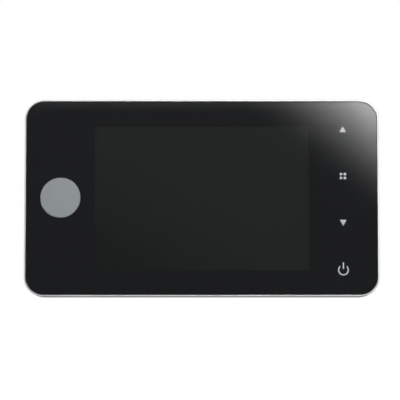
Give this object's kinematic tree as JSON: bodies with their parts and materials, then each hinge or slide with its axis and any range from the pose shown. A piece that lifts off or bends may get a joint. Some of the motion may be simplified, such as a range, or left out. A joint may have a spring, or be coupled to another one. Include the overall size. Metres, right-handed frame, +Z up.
{
  "type": "peephole door camera",
  "caption": "Indoor touch-key screen monitor hung on a door bracket, joined through the door by a threaded barrel to a small wide-angle peephole camera.",
  "frame": {"origin": "on the barrel's axis, at the inner face of the door", "axes": "+Y through the door towards the street, -Y into the room, +Z up, +X to the right as seen from the room"},
  "size_m": [0.14, 0.0754, 0.078],
  "materials": {
    "clear_panel": "clear smoked acrylic, polished",
    "disc_metal": "flat satin grey",
    "black_film": "black print on film",
    "pale_print": "pale grey print",
    "tape": "black bonding tape",
    "silver_frame": "satin silver",
    "foam": "closed-cell foam",
    "display_glass": "switched-off display",
    "tray_metal": "pressed tray",
    "polyimide": "amber ribbon",
    "cream_plastic": "connector plastic",
    "board_green": "circuit board",
    "chip_black": "moulded chips",
    "capacitor_can": "metal cans",
    "spring_steel": "nickel-plated",
    "screw_steel": "zinc-plated",
    "wire_red": "insulated wire",
    "housing_black": "fine moulded texture",
    "cell_jacket": "printed jacket, bare of text",
    "bracket_zinc": "zinc-plated sheet",
    "barrel_metal": "satin nickel look",
    "seal_rubber": "black rubber",
    "holder_black": "black",
    "filter_glass": "tinted filter",
    "lens_glass": "coated lens"
  },
  "bodies": {
    "bracket": {"door_bracket": "bracket_zinc", "bracket_pad": "foam", "sleeve_washer": "bracket_zinc", "ribbon_plug": "cream_plastic", "camera_ribbon": "polyimide"},
    "monitor": {"front_panel": "clear_panel", "blank_disc": "disc_metal", "panel_mask": "black_film", "key_symbols": "pale_print", "panel_tape": "tape", "front_frame": "silver_frame", "lcd_gasket": "foam", "lcd_glass": "display_glass", "lcd_backlight": "tray_metal", "lcd_flex": "polyimide", "lcd_socket": "cream_plastic", "main_board": "board_green", "board_chips": "chip_black", "power_parts": "capacitor_can", "touch_springs": "spring_steel", "board_screws": "screw_steel", "camera_socket": "cream_plastic", "battery_wires": "wire_red", "rear_housing": "housing_black", "housing_screws": "screw_steel", "battery_plates": "spring_steel", "battery_springs": "spring_steel", "battery_cell_1": "cell_jacket", "battery_cell_2": "cell_jacket", "battery_cell_3": "cell_jacket", "battery_cell_4": "cell_jacket"},
    "battery_cover": {"battery_cover": "housing_black"},
    "sleeve": {"fixing_sleeve": "barrel_metal"},
    "camera": {"camera_barrel": "barrel_metal", "outer_bezel": "barrel_metal", "door_gasket": "seal_rubber", "sensor_board": "board_green", "image_sensor": "chip_black", "lens_holder": "holder_black", "infrared_filter": "filter_glass", "rear_lens": "lens_glass", "lens_spacer": "holder_black", "middle_lens": "lens_glass", "front_lens": "lens_glass", "lens_seal": "seal_rubber"}
  },
  "joints": [
    {"name": "monitor_lift", "type": "slide", "parent": "bracket", "child": "monitor", "axis": [0, 0, 1], "range_m": [0, 0.058]},
    {"name": "battery_cover_slide", "type": "slide", "parent": "monitor", "child": "battery_cover", "axis": [-1, 0, 0], "range_m": [0, 0.06]},
    {"name": "sleeve_turn", "type": "hinge", "parent": "bracket", "child": "sleeve", "pos_m": [0, 0, 0], "axis": [0, 1, 0], "range_deg": [-4561, 1201]},
    {"name": "barrel_draw", "type": "slide", "parent": "bracket", "child": "camera", "axis": [0, 1, 0], "range_m": [-0.005, 0.019], "deforming": ["camera_ribbon"]}
  ],
  "couplings": [
    {"joint": "sleeve_turn", "follows": "barrel_draw", "rad_per_m": -4188.8}
  ]
}
